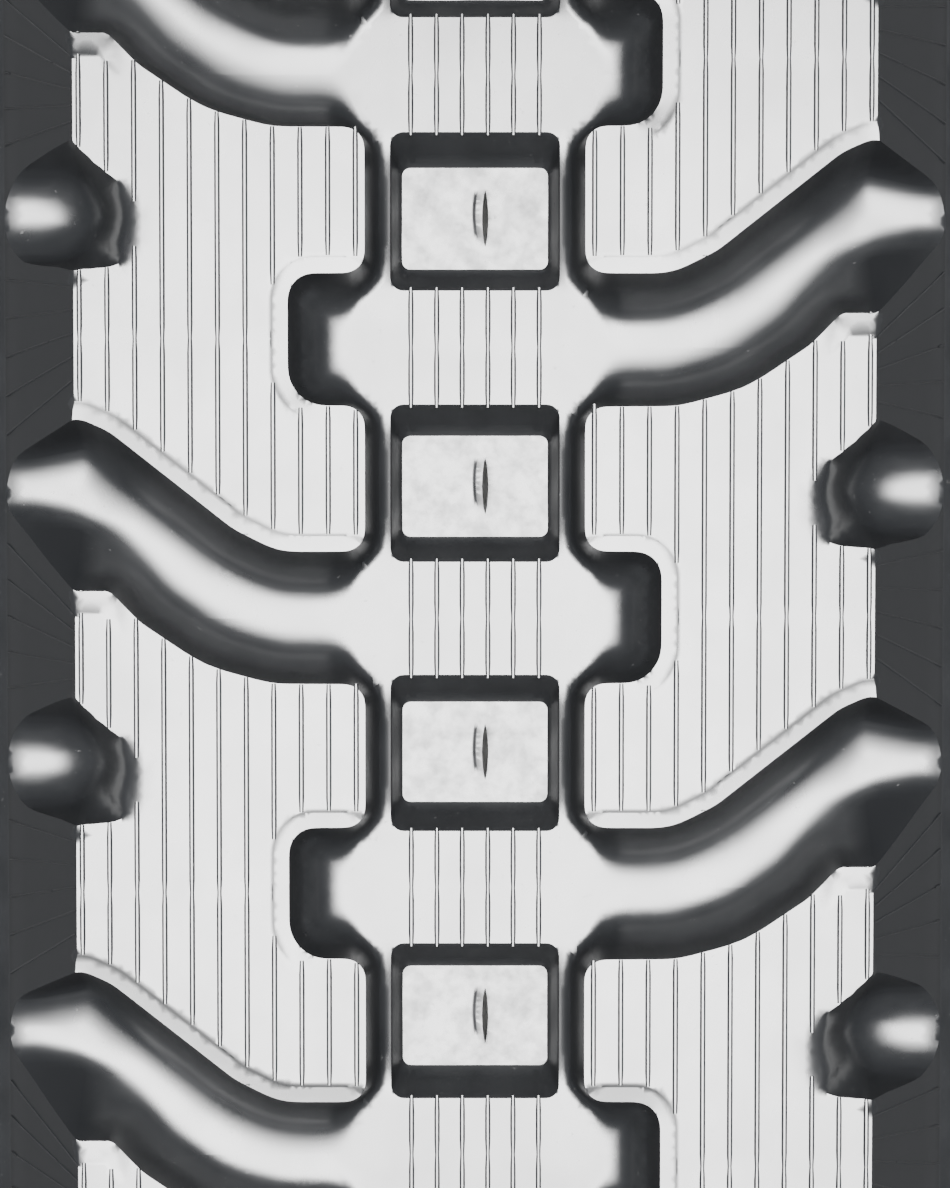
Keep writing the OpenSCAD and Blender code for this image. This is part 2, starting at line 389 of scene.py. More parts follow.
def underside(x, y):
    """Height of the guide-side face: roller lanes, recessed outer band, rounded edge, collars round horns."""
    along = (y - core_y[0] + half_pitch) % pitch - half_pitch
    z = lane_z + LANE_STEP * smooth(LANE_EDGE, LANE_EDGE + 5, x)
    over = np.clip(x - (half_width - EDGE_R), 0, EDGE_R)
    z = z + EDGE_R - np.sqrt(np.maximum(EDGE_R ** 2 - over ** 2, 0))
    dx = np.maximum(np.maximum(HORN_X[0] - x, x - HORN_X[1]), 0)
    dy = np.maximum(np.abs(along) - HORN_HALF_L, 0)
    gap = np.hypot(dx, dy)
    collar = COLLAR * (1 - smooth(0.8, 7, gap))
    # Beside the sprocket windows the cover of each core's bridge is crowned for the sprocket tooth
    crown = 2.2 * smooth(HORN_X[0], HORN_X[0] - 6, x) * (1 - smooth(10, 25, np.abs(along)))
    return z - collar + crown


# ---------------------------------------------------------------- mesh of one side of one span
def contour(xs, ys, field, level, keep=None):
    """Lines where a field on a grid crosses a level, chained. keep masks grid points."""
    f = field - level
    sign = f > 0
    ok = np.ones(f.shape, bool) if keep is None else keep
    corner = sign[:-1, :-1]
    mixed = (corner != sign[1:, :-1]) | (corner != sign[:-1, 1:]) | (corner != sign[1:, 1:])
    mixed &= ok[:-1, :-1] & ok[1:, :-1] & ok[:-1, 1:] & ok[1:, 1:]
    place, joined = {}, {}

    def crossing(i0, j0, i1, j1):
        key = (i0, j0, i1, j1)
        if key not in place:
            t = f[i0, j0] / (f[i0, j0] - f[i1, j1])
            place[key] = (xs[j0] + t * (xs[j1] - xs[j0]), ys[i0] + t * (ys[i1] - ys[i0]))
        return key

    for i, j in zip(*np.nonzero(mixed)):
        cell = [(i, j, i, j + 1), (i, j + 1, i + 1, j + 1), (i + 1, j, i + 1, j + 1), (i, j, i + 1, j)]
        hits = [crossing(*c) for c in cell if sign[c[0], c[1]] != sign[c[2], c[3]]]
        for a, b in zip(hits[::2], hits[1::2]):
            joined.setdefault(a, []).append(b)
            joined.setdefault(b, []).append(a)
    lines, seen = [], set()
    starts = [k for k, n in joined.items() if len(n) == 1] + list(joined)
    for start in starts:
        if start in seen:
            continue
        line, here = [start], start
        seen.add(start)
        while True:
            onward = [n for n in joined[here] if n not in seen]
            if not onward:
                break
            here = onward[0]
            seen.add(here)
            line.append(here)
        closed = len(line) > 2 and line[0] in joined[line[-1]]
        points = [place[k] for k in line]
        lines.append(points + points[:1] if closed else points)
    return [l for l in lines if len(l) > 2]


def thinned(line, tolerance=0.015, longest=3.0):
    """A line with fewer points, none further than tolerance from it, and no stretch over longest."""
    p = np.array(line)
    keep = {0, len(p) - 1}
    stack = [(0, len(p) - 1)]
    while stack:
        a, b = stack.pop()
        if b - a < 2:
            continue
        d = p[b] - p[a]
        length = np.hypot(*d)
        rest = p[a + 1:b] - p[a]
        off = np.abs(rest[:, 0] * d[1] - rest[:, 1] * d[0]) / length if length > 1e-6 else np.hypot(*rest.T)
        m = int(off.argmax())
        if off[m] > tolerance or length > longest:
            m = m if off[m] > tolerance else (b - a) // 2 - 1
            keep.add(a + 1 + m)
            stack += [(a, a + 1 + m), (a + 1 + m, b)]
    return p[sorted(keep)]


def divided(line, longest):
    """The same line with points added so that no stretch is longer than the length given."""
    out = [np.array(line[0], float)]
    for p in line[1:]:
        start = out[-1]
        n = max(1, math.ceil(np.hypot(*(np.array(p) - start)) / longest))
        out += [start + (np.array(p) - start) * i / n for i in range(1, n + 1)]
    return np.array(out)


def ring(half_x, half_y, radius, cx, cy, x_from, step=15):
    """The half of a rounded rectangle that lies at x_from or more, as an open line."""
    corners = [(cx + half_x, cy - half_y), (cx + half_x, cy + half_y)]
    line = [np.array([x_from, cy - half_y])]
    for (px, py), up in zip(corners, (-1, 1)):
        centre = (px - radius, py - up * radius)
        start = -90 if up < 0 else 0
        angles = np.radians(np.linspace(start, start + 90, 90 // step + 1))
        line += [np.array([centre[0] + radius * math.cos(a), centre[1] + radius * math.sin(a)])
                 for a in angles]
    line.append(np.array([x_from, cy + half_y]))
    return divided(line, 3.0)


# Window wall from the rim to the film: share of the way in, and share of the way down
WINDOW_STEPS = ((0.0, 0.0), (0.07, 0.035), (0.16, 0.12), (0.6, 0.66), (0.86, 0.93), (1.0, 1.0))


def window_size(share):
    """Half width, half length and corner radius of a window at a share of the way in from its rim."""
    half_x, half_y = (rim + (film - rim) * share for rim, film in zip(WINDOW_RIM, FILM_HALF))
    return half_x, half_y, 4.2 - 1.6 * share


def triangulated(points, edges, kind):
    """Triangles between plan points that keep to the edges given, and the plan points in their new order."""
    flat = [Vector((float(p[0]), float(p[1]))) for p in points]
    plan, _, faces = delaunay_2d_cdt(flat, edges, [], kind, 1e-3)[:3]
    return np.array([(v.x, v.y) for v in plan]), faces


def tread_lines(gx, gy):
    """Lines along every crisp edge of the tread: lug edges, valley feet, ledges, patches and scoops."""
    lines = []
    xs, ys = gx[0], gy[:, 0]
    for block in range(-2, 4):
        local = gy - BLOCK_REPEAT * block
        if local.min() > 110 or local.max() < -80:
            continue
        d, nx, ny, fall = block_top(gx, local)
        wall, side, top = walls(gx, gy), side_slope(gx), lug_h - fall
        body = (gx < LUG_FOOT + 1) & (gx > LUG_IN - 5)
        lines += contour(xs, ys, wall - top, 0, body & (side > lug_h - 3) & (np.abs(d) < 4))
        own = np.abs(local) < pitch + 0.01
        lines += contour(xs, ys, wall - side, 0, body & (side < lug_h + 1) & (side > 0.15) & own)
        lines += contour(xs, ys, side - top, 0, body & (wall > lug_h - 2) & own)
        ledges = (ny < -0.35) | ((nx < -0.35) & (gx > 50) & (np.abs(local) < half_pitch))
        patch = (gx > 109) & (gx < LUG_OUT) & (ny > 0.6) & (local > half_pitch)
        for step_in in (0, STEP_W):
            lines += contour(xs, ys, d, step_in - LEDGE_W, body & ledges & (gx < LUG_OUT))
            lines += contour(xs, ys, d, step_in - PATCH_W, patch)
        for level in (1.5, 5.0):
            lines += contour(xs, ys, wall, level, (gx > 28) & (gx < 37) & own)
        scoop_y = local - half_pitch
        scoop = scoop_height(gx, scoop_y)
        zone = (np.abs(scoop_y) < 36) & (gx > 100) & (gx < LUG_FOOT)
        if zone.any():
            r = scoop_polar(gx, scoop_y)[0]
            cut = zone & (scoop < side + 1.2) & (scoop < lug_h + 1)
            for level in (7.2, 11.0, SCOOP_R):
                lines += contour(xs, ys, r, level, cut)
            for level in (18.5, 23.5):
                lines += contour(xs, ys, scoop, level, cut)
            lines += contour(xs, ys, scoop - np.minimum(side, lug_h), 0, zone & (side > 0.1))
            lines += contour(xs, ys, scoop, lug_h + 2.0, zone & (scoop < side) & (gx < LUG_OUT))
    return [thinned(l) for l in lines]


def straight_lines(y_low, y_high):
    """Lines that run the whole length of a span, and a close row along each of its borders."""
    segments = []
    # Lanes, cap of the tread rubber, foot of the lugs, roller lane, rounded edge
    for x in (27.0, 28.6, 30.4, 32.6, 145.3, 147.6, LUG_FOOT - 0.25, LUG_FOOT + 0.25,
              LANE_EDGE, LANE_EDGE + 2.5, LANE_EDGE + 5,
              *(half_width - back for back in (EDGE_R, 6, 4, 2.2, 0.9, 0.2))):
        count = 22 if x > LUG_FOOT + 1 else 43
        segments.append(np.array([(x, y) for y in np.linspace(y_low, y_high, count)]))
    # The close rows make neighbouring pieces shade alike where they meet
    for y in (y_low + 0.35, y_high - 0.35):
        segments.append(divided([(32.0, y), (LUG_FOOT + 2, y)], 1.5))
    return segments


def window_lines(y_low, y_high, windows):
    """Rounded rings down the wall of each window, cut off at the span's borders."""
    segments = []
    for middle in windows:
        for share in (-0.12, *(u for u, _ in WINDOW_STEPS)):
            line = ring(*window_size(share), 0, middle, 0)
            inside = (line[:, 1] >= y_low - 1e-6) & (line[:, 1] <= y_high + 1e-6)
            run = line[inside]
            if not inside.all() and line[~inside][0][1] < y_low:
                run = np.vstack([[run[0][0], y_low], run])
            elif not inside.all():
                run = np.vstack([run, [run[-1][0], y_high]])
            segments.append(run)
    return segments


def collar_lines(y_low, y_high):
    """Lines round the guide horns of the cores at a span's borders."""
    segments = []
    for core in (y_low, y_high):
        if abs(core / pitch - round(core / pitch)) > 1e-6:
            continue
        for grow in (0.8, 2.8, 4.9, 7.0):
            x0, x1 = HORN_X[0] - grow, HORN_X[1] + grow
            far = core + (HORN_HALF_L + grow) * (1 if core == y_low else -1)
            segments.append(divided([(x0, core), (x0, far), (x1, far), (x1, core)], 2.0))
    return segments


def infill(gx, gy, segments):
    """Points between the lines: every 2 mm where the surface curves, every 4 mm elsewhere."""
    points = []
    xs, ys = gx[0], gy[:, 0]
    height = side_height(gx, gy)
    bend = np.zeros(height.shape)
    bend[1:-1] += np.abs(height[2:] + height[:-2] - 2 * height[1:-1])
    bend[:, 1:-1] += np.abs(height[:, 2:] + height[:, :-2] - 2 * height[:, 1:-1])
    curved = bend > 0.012
    along = [a + (b - a) * t for line in segments for a, b in zip(line, line[1:])
             for t in np.linspace(0, 1, max(1, int(np.hypot(*(b - a)))) + 1)]
    tree = KDTree(len(along))
    for i, p in enumerate(along):
        tree.insert((p[0], p[1], 0), i)
    tree.balance()
    for i in range(2, len(ys) - 2, 2):
        for j in range(2, len(xs) - 2, 2):
            px, py = xs[j] + (i // 2 % 2) * 0.9, ys[i]
            fine = curved[i - 1:i + 2, j - 1:j + 2].any()
            coarse = i % 4 == 2 and j % 4 == 2
            if (fine or coarse) and tree.find((px, py, 0))[2] > (0.9 if fine else 1.5):
                points.append((px, py))
    return points


def tile(y_low, y_high, windows):
    """Half of a span's rubber, x from 0 out, in the block's own y. Returns plan points, top and bottom
    heights, triangles. windows are the y of the window middles in reach."""
    xs = np.arange(0, half_width + 0.5)
    ys = np.linspace(y_low, y_high, int(round(y_high - y_low)) + 1)
    gx, gy = np.meshgrid(xs, ys)
    segments = tread_lines(gx, gy) + straight_lines(y_low, y_high)
    segments += window_lines(y_low, y_high, windows) + collar_lines(y_low, y_high)
    points = [p for s in segments for p in s]
    edges, n = [], 0
    for s in segments:
        edges += [(n + i, n + i + 1) for i in range(len(s) - 1)]
        n += len(s)
    border_x = sorted({0.0, *np.arange(2, half_width, 2), half_width})
    border_y = list(np.linspace(y_low, y_high, 22))
    border = [(x, y_low) for x in border_x] + [(half_width, y) for y in border_y[1:]]
    border += [(x, y_high) for x in border_x[-2::-1]] + [(0.0, y) for y in border_y[-2:0:-1]]
    edges += [(n + i, n + (i + 1) % len(border)) for i in range(len(border))]
    points += border + infill(gx, gy, segments)
    plan, faces = triangulated(points, edges, 0)
    x, y = plan.T
    top = base_z + side_height(x, y)
    near = np.min([np.abs(y - w) for w in windows], axis=0) if windows else np.full(x.shape, 99.0)
    top = top - base_drop(x, near)
    # Window wall: share of the way from rim to film from the rounded rings
    share = np.zeros(x.shape)
    for w in windows:
        share = np.maximum(share, ring_share(x, np.abs(y - w)))
    fall = np.interp(share, [u for u, _ in WINDOW_STEPS], [v for _, v in WINDOW_STEPS])
    top = np.where(share > 0, (top * (1 - fall) + film_z * fall), top)
    bottom = underside(x, y + core_y[0])
    tris = []
    for f in faces:
        c = plan[list(f)].mean(axis=0)
        hole = any(ring_share(np.array([c[0]]), np.array([abs(c[1] - w)]))[0] >= 1.0 for w in windows)
        a, b, cc = (plan[i] for i in f)
        area = (b[0] - a[0]) * (cc[1] - a[1]) - (b[1] - a[1]) * (cc[0] - a[0])
        if not hole and abs(area) > 1e-7:
            tris.append(tuple(f) if area > 0 else tuple(reversed(f)))
    return x, y, top, bottom, tris


def ring_share(x, y):
    """Share of the way from the window's rim, 0, to the film's edge, 1, at a place from its middle."""
    low, high = np.zeros(x.shape), np.full(x.shape, 1.0)

    def within(share):
        hx, hy, r = window_size(share)
        qx, qy = np.maximum(x - hx + r, 0), np.maximum(y - hy + r, 0)
        return np.hypot(qx, qy) <= r + 2e-3

    inside_film = within(np.ones(x.shape))
    for _ in range(18):
        mid = (low + high) / 2
        ok = within(mid)
        low, high = np.where(ok, mid, low), np.where(ok, high, mid)
    return np.where(inside_film, 1.0, np.where(within(np.zeros(x.shape)), low, 0.0))


def new_object(name, points, faces, smooth_angle=38):
    mesh = bpy.data.meshes.new(name)
    mesh.from_pydata([tuple(float(c) * MM for c in p) for p in points], [], faces)
    mesh.validate()
    mesh.shade_smooth()
    mesh.set_sharp_from_angle(angle=math.radians(smooth_angle))
    piece = bpy.data.objects.new(name, mesh)
    bpy.context.scene.collection.objects.link(piece)
    return piece


_tiles = {}


def span_mesh(name, y_low, y_high):
    """The closed rubber body between two planes across the track."""
    points, faces = [], []
    for sign in (1, -1):
        # In the tile, block middles lie at y = 0: even cores on the right, odd cores on the left.
        first = core_y[1] if sign > 0 else core_y[0]
        start = round((y_low - first) / BLOCK_REPEAT - 0.26) * BLOCK_REPEAT
        low, high = y_low - first - start, y_high - first - start
        windows = [h - first - start for h in hinge_y + [-section_end, section_end]
                   if y_low - 1 <= h <= y_high + 1]
        key = (round(low, 3), round(high, 3))
        if key not in _tiles:
            _tiles[key] = tile(low, high, windows)
        x, y, top, bottom, tris = _tiles[key]
        n, count = len(points), len(x)
        shift = first + start
        points += [(sign * a, b + shift, c) for a, b, c in zip(x, y, top)]
        points += [(sign * a, b + shift, c) for a, b, c in zip(x, y, bottom)]
        up = tris if sign > 0 else [t[::-1] for t in tris]
        faces += [tuple(n + i for i in t) for t in up]
        faces += [tuple(n + count + i for i in t[::-1]) for t in up]
        # Walls round the border and round each window hole
        used = {}
        for t in up:
            for a, b in zip(t, t[1:] + t[:1]):
                used[(a, b)] = True
        for a, b in used:
            if (b, a) not in used and not (abs(x[a]) < 1e-6 and abs(x[b]) < 1e-6):
                faces.append((n + a, n + count + a, n + count + b, n + b))
    piece = new_object(name, points, faces)
    mesh = bmesh.new()
    mesh.from_mesh(piece.data)
    bmesh.ops.remove_doubles(mesh, verts=mesh.verts, dist=2e-6)
    bmesh.ops.triangulate(mesh, faces=[f for f in mesh.faces if len(f.verts) > 3])
    open_edges = sum(1 for e in mesh.edges if len(e.link_faces) != 2)
    if open_edges:
        print(name, "open edges", open_edges)
    mesh.to_mesh(piece.data)
    mesh.free()
    piece.data.set_sharp_from_angle(angle=math.radians(38))
    return piece


# ---------------------------------------------------------------- materials
class Socket:
    """A shader value that can be used in plain arithmetic."""

    def __init__(self, maker, link):
        self.maker, self.link = maker, link

    def math(self, operation, a, b=0.0):
        return self.maker.node("ShaderNodeMath", {"operation": operation}, {0: a, 1: b})

    def __add__(self, other):
        return self.math("ADD", self, other)

    def __radd__(self, other):
        return self.math("ADD", other, self)

    def __sub__(self, other):
        return self.math("SUBTRACT", self, other)

    def __rsub__(self, other):
        return self.math("SUBTRACT", other, self)

    def __mul__(self, other):
        return self.math("MULTIPLY", self, other)

    def __rmul__(self, other):
        return self.math("MULTIPLY", other, self)


class Finish:
    """One material and the nodes that make it."""

    def __init__(self, name, slot, **shader):
        self.material = bpy.data.materials.new(name)
        self.material.use_nodes = True
        self.slot = slot
        self.tree = self.material.node_tree
        self.shader = self.tree.nodes["Principled BSDF"]
        for socket, value in shader.items():
            self.shader.inputs[socket.replace("_", " ")].default_value = value

    def node(self, kind, settings=None, inputs=None, output=0):
        made = self.tree.nodes.new(kind)
        for key, value in (settings or {}).items():
            if key == "stops":
                ramp = made.color_ramp
                while len(ramp.elements) < len(value):
                    ramp.elements.new(0.5)
                for element, (place, shade) in zip(ramp.elements, value):
                    element.position = place
                    element.color = shade if isinstance(shade, tuple) else (shade, shade, shade, 1)
            else:
                setattr(made, key, value)
        for key, value in (inputs or {}).items():
            self.put(made.inputs[key], value)
        return Socket(self, made.outputs[output])

    def put(self, socket, value):
        if isinstance(value, Socket):
            self.tree.links.new(value.link, socket)
        else:
            socket.default_value = value

    def set(self, **inputs):
        for name, value in inputs.items():
            self.put(self.shader.inputs[name.replace("_", " ")], value)

    def place(self):
        return self.node("ShaderNodeTexCoord", output=3)

    def noise(self, scale, detail=3.0, roughness=0.5, stretch=(1, 1, 1)):
        spot = self.node("ShaderNodeMapping", {}, {"Vector": self.place(), "Scale": stretch})
        return self.node("ShaderNodeTexNoise", {"noise_dimensions": "3D"},
                         {"Vector": spot, "Scale": scale, "Detail": detail, "Roughness": roughness})

    def span(self, value, low, high, to_low=0.0, to_high=1.0):
        return self.node("ShaderNodeMapRange", {"clamp": True},
                         {"Value": value, "From Min": low, "From Max": high,
                          "To Min": to_low, "To Max": to_high})

    def mix(self, share, a, b):
        return self.node("ShaderNodeMix", {"data_type": "RGBA"}, {0: share, 6: a, 7: b}, output=2)

    def bump(self, height, strength, distance_mm):
        return self.node("ShaderNodeBump", {},
                         {"Height": height, "Strength": strength, "Distance": distance_mm * MM})


def rubber(name, slot, gloss, dust=0.0, smudge=0.0, cloud=40):
    """Black moulded rubber: a skin that took the mould's polish, with faint flow marks, bloom and specks."""
    f = Finish(name, slot, Coat_Roughness=0.23, Coat_IOR=1.7, IOR=1.45)
    facing = f.node("ShaderNodeTexCoord", output=1)
    facing_up = f.node("ShaderNodeSeparateXYZ", {}, {"Vector": facing}, output=2)
    flat = f.span(facing_up, 0.64, 0.94)
    flow = f.noise(60, 3, 0.55, (1, 0.35, 1))
    bloom = f.noise(cloud, 3, 0.6)
    level = f.node("ShaderNodeSeparateXYZ", {}, {"Vector": f.place()}, output=2)
    depth = f.span(level, 0.055, 0.076, 0.84, 1.0)
    fine = f.noise(900, 2, 0.6)
    specks = f.span(f.noise(420, 2, 0.7), 0.70, 0.76)
    base = f.mix(f.span(bloom, 0.35, 0.7) * 0.7, (0.0075, 0.008, 0.0088, 1), (0.0125, 0.013, 0.014, 1))
    f.set(Base_Color=f.mix(specks * (0.25 + dust), base, (0.10, 0.10, 0.10, 1)))
    uneven = f.span(flow, 0.3, 0.75, -0.035, 0.05) + f.span(bloom, 0.35, 0.7, 0, 0.04 + smudge)
    polish = 0.02 + flat * depth * (0.8 - f.span(bloom, 0.4, 0.75, 0, 0.12 + smudge))
    f.set(Roughness=gloss + uneven + specks * 0.25 + (1 - flat) * 0.08, Coat_Weight=polish)
    height = fine * 0.05 + flow * 0.5 + specks * 0.4
    relief = f.bump(height, 0.35, 0.09)
    f.set(Normal=relief)
    # The lugs' outer slopes keep a matt skin
    across = f.node("ShaderNodeSeparateXYZ", {}, {"Vector": f.place()}, output=0)
    outer = f.span(across.math("ABSOLUTE", across), 0.118, 0.1248) * (1 - f.span(facing_up, 0.72, 0.86))
    matt = f.node("ShaderNodeBsdfPrincipled", {},
                  {"Base Color": (0.007, 0.0074, 0.0082, 1), "Roughness": 0.5,
                   "Specular IOR Level": 0.1, "Normal": relief})
    both = f.node("ShaderNodeMixShader", {}, {0: outer, 1: Socket(f, f.shader.outputs[0]), 2: matt})
    f.tree.links.new(both.link, f.tree.nodes["Material Output"].inputs["Surface"])
    return f


moulded = rubber("moulded_rubber", "tread_rubber", 0.27)
rib_rubber = rubber("vent_rib_rubber", "tread_rubber", 0.34, dust=0.1)
film_rubber = rubber("film_rubber", "film_rubber", 0.25, dust=0.1, smudge=0.2, cloud=170)


def cut_rubber():
    """The sawn ends of the section: matt, with saw marks and torn crumbs."""
    f = Finish("sawn_rubber", "tread_rubber", IOR=1.5)
    saw = f.noise(160, 2, 0.5, (0.05, 1, 1))
    crumbs = f.noise(700, 4, 0.7)
    f.set(Base_Color=f.mix(f.span(crumbs, 0.35, 0.7), (0.012, 0.012, 0.013, 1), (0.035, 0.035, 0.036, 1)),
          Roughness=f.span(crumbs, 0.3, 0.7, 0.62, 0.85), Normal=f.bump(saw + crumbs * 0.6, 0.5, 0.25))
    return f


def forged():
    """Forged core: shot-blasted scale under dark primer, brighter where the horns' faces have rubbed."""
    f = Finish("forged_core", "forged_core", Metallic=1.0)
    scale = f.noise(220, 4, 0.65)
    patches = f.noise(30, 3, 0.6)
    worn = f.span(patches, 0.52, 0.66)
    dark = f.mix(f.span(scale, 0.35, 0.7), (0.055, 0.054, 0.053, 1), (0.12, 0.115, 0.108, 1))
    f.set(Base_Color=f.mix(worn, dark, (0.26, 0.255, 0.25, 1)),
          Roughness=f.span(scale, 0.3, 0.75, 0.42, 0.6) - worn * 0.12, Normal=f.bump(scale, 0.5, 0.18))
    return f


def cord_wire():
    """Wire with a thin brass coat, drawn lines along it and duller spots."""
    f = Finish("cord_wire", "steel_cord", Metallic=1.0)
    drawn = f.noise(600, 2, 0.5, (1, 0.04, 1))
    tint = f.noise(60, 2, 0.5)
    f.set(Base_Color=f.mix(f.span(tint, 0.35, 0.65), (0.55, 0.47, 0.31, 1), (0.63, 0.60, 0.55, 1)),
          Roughness=f.span(drawn, 0.3, 0.7, 0.26, 0.42), Normal=f.bump(drawn, 0.3, 0.04))
    return f


sawn = cut_rubber()
forged_steel = forged()
wire = cord_wire()


def finish_with(piece, *finishes):
    piece.data.materials.clear()
    for f in finishes:
        piece.data.materials.append(f.material)


# ---------------------------------------------------------------- spans: from one core to the next
class Span:
    """A stretch of rubber across one hinge, or a stiff half pitch at an end of the section."""

    def __init__(self, index):
        self.index = index
        self.low = core_y[index - 1] if index else -section_end
        self.high = core_y[index] if index < links else section_end
        self.hinge = hinge_y[index - 1] if 0 < index < links else None
        self.link_numbers = [n for n in (index, index + 1) if 1 <= n <= links]
        self.label = "_".join(str(n) for n in self.link_numbers)
        if self.hinge is None:
            self.label = "end_" + self.label

    def carry(self, piece):
        """Joins a piece at an end of the section to its one link. A piece across a hinge is joined to no
        link: only its place is baked into its mesh.
        """
        if self.hinge is None:
            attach(piece, f"link_{self.link_numbers[0]}")
            return
        reach = 17 * MM
        at = self.hinge * MM
        at - reach
        at + reach
        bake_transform(piece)


spans = [Span(i) for i in range(links + 1)]


def make_rubber(span):
    piece = span_mesh(f"moulded_rubber_{span.label}", span.low, span.high)
    finish_with(piece, moulded, sawn)
    if span.hinge is None:
        end = (section_end if span.index else -section_end) * MM
        for face in piece.data.polygons:
            if all(abs(piece.data.vertices[v].co.y - end) < 1e-6 for v in face.vertices):
                face.material_index = 1
    span.carry(piece)
    for n in span.link_numbers:
        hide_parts(*[f"{part}_{n}" for part in
                             ("guide_side_rubber", "tread_side_rubber", "left_lug", "right_lug")])
    return piece


def ridge(points, base_w, top_w, height, sink=0.5):
    """A closed raised rib along points on a surface: a bar with sloping sides, mostly below the surface."""
    verts, faces = [], []
    for i, p in enumerate(points):
        ahead = np.array(points[min(i + 1, len(points) - 1)]) - np.array(points[max(i - 1, 0)])
        across = np.array([-ahead[1], ahead[0], 0]) / max(np.hypot(ahead[0], ahead[1]), 1e-9)
        end = 0.75 if i in (0, len(points) - 1) else 1.0
        for side, up, w in ((-1, -sink, base_w), (-1, 0.02, base_w), (-1, height * end, top_w),
                            (1, height * end, top_w), (1, 0.02, base_w), (1, -sink, base_w)):
            verts.append(tuple(np.array(p) + across * side * w / 2 * end + np.array([0, 0, up])))
    ring_n = 6
    for i in range(len(points) - 1):
        for j in range(ring_n):
            a, b = i * ring_n + j, i * ring_n + (j + 1) % ring_n
            faces.append((a, b, b + ring_n, a + ring_n))
    faces.append(tuple(range(ring_n - 1, -1, -1)))
    last = (len(points) - 1) * ring_n
    faces.append(tuple(last + j for j in range(ring_n)))
    return verts, faces


def joined(name, parts, smooth_angle=30):
    points, faces = [], []
    for verts, polys in parts:
        n = len(points)
        points += verts
        faces += [tuple(n + i for i in f) for f in polys]
    return new_object(name, points, faces, smooth_angle)


RIB_PAST_EDGE = 2.0


def make_ribs(span):
    """Vent ribs: thin lines along the track on the ground faces and on the lands."""
    ys = np.arange(span.low, span.high + 0.125, 0.25)
    parts = []
    for sign in (1, -1):
        first = core_y[1] if sign > 0 else core_y[0]
        for i in range(RIB_COUNT):
            x = RIB_FIRST + RIB_STEP * i
            h = side_height(np.full(ys.shape, x), ys - first)
            on = h > lug_h - 0.1
            starts = np.nonzero(on & ~np.r_[False, on[:-1]])[0]
            ends = np.nonzero(on & ~np.r_[on[1:], False])[0]
            for a, b in zip(starts, ends):
                top = ys[b] if b == len(ys) - 1 else ys[b] + RIB_PAST_EDGE * random.uniform(0.5, 1.2)
                faces_down = b < len(ys) - 1 and h[min(b + 3, len(ys) - 1)] > lug_h - 4
                top = ys[b] if faces_down else min(top, span.high)
                low = ys[a] if a == 0 else ys[a] + 0.2
                n = max(2, int((top - low) / 4) + 1)
                parts.append(ridge([(sign * x, y, lug_z) for y in np.linspace(low, top, n)], *RIB_SIZE))
    for i in range(links):
        for x in LAND_RIB_X:
            low, high = core_y[i] - half_pitch + WINDOW_RIM[1] - 1, core_y[i] + half_pitch - WINDOW_RIM[1] + 1
            low, high = max(low, span.low), min(high, span.high)
            if high - low > 2:
                n = max(2, int((high - low) / 4) + 1)
                for sign in (-1, 1):
                    line = [(sign * x, y, base_z) for y in np.linspace(low, high, n)]
                    parts.append(ridge(line, *RIB_SIZE))
    piece = joined(f"vent_ribs_{span.label}", parts)
    finish_with(piece, rib_rubber)
    span.carry(piece)


# Fan lines on the lugs' outer slopes: (first y from a block's middle, step) at the top edge, the same at
# the foot, and how many
FANS = (((66.7, 4.9), (63.8, 11.5), 5), ((15.9, -7.1), (21.5, -12.3), 5))


def make_fan_lines(span):
    parts = []
    slope = lug_h / (LUG_FOOT - LUG_OUT)
    for sign in (1, -1):
        first = core_y[1] if sign > 0 else core_y[0]
        for middle in (first + BLOCK_REPEAT * m for m in range(-2, 5)):
            for (edge, edge_step), (foot, foot_step), count in FANS:
                for i in range(count):
                    share = np.linspace(0.02, 1.0, 40)
                    x = LUG_OUT + (LUG_FOOT - 0.3 - LUG_OUT) * share
                    y = middle + edge + edge_step * i + (foot + foot_step * i - edge - edge_step * i) * share
                    z = base_z + side_height(x, y - first)
                    bare = np.abs(z - base_z - (LUG_FOOT - x) * slope) < 0.25
                    inside = bare & (y >= span.low) & (y <= span.high)
                    if inside.sum() > 3:
                        run = np.nonzero(inside)[0]
                        parts.append(ridge([(sign * x[j], y[j], z[j]) for j in run], *FAN_SIZE))
    if parts:
        piece = joined(f"fan_lines_{span.label}", parts)
        finish_with(piece, rib_rubber)
        span.carry(piece)


# The slit's middle, length and width, and the crease beside it
SLIT = (3.3, 18.0, 2.0)
CREASE_X, CREASE_Y, CREASE_L, CREASE_BOW = -0.3, 1.4, 16.5, 0.84


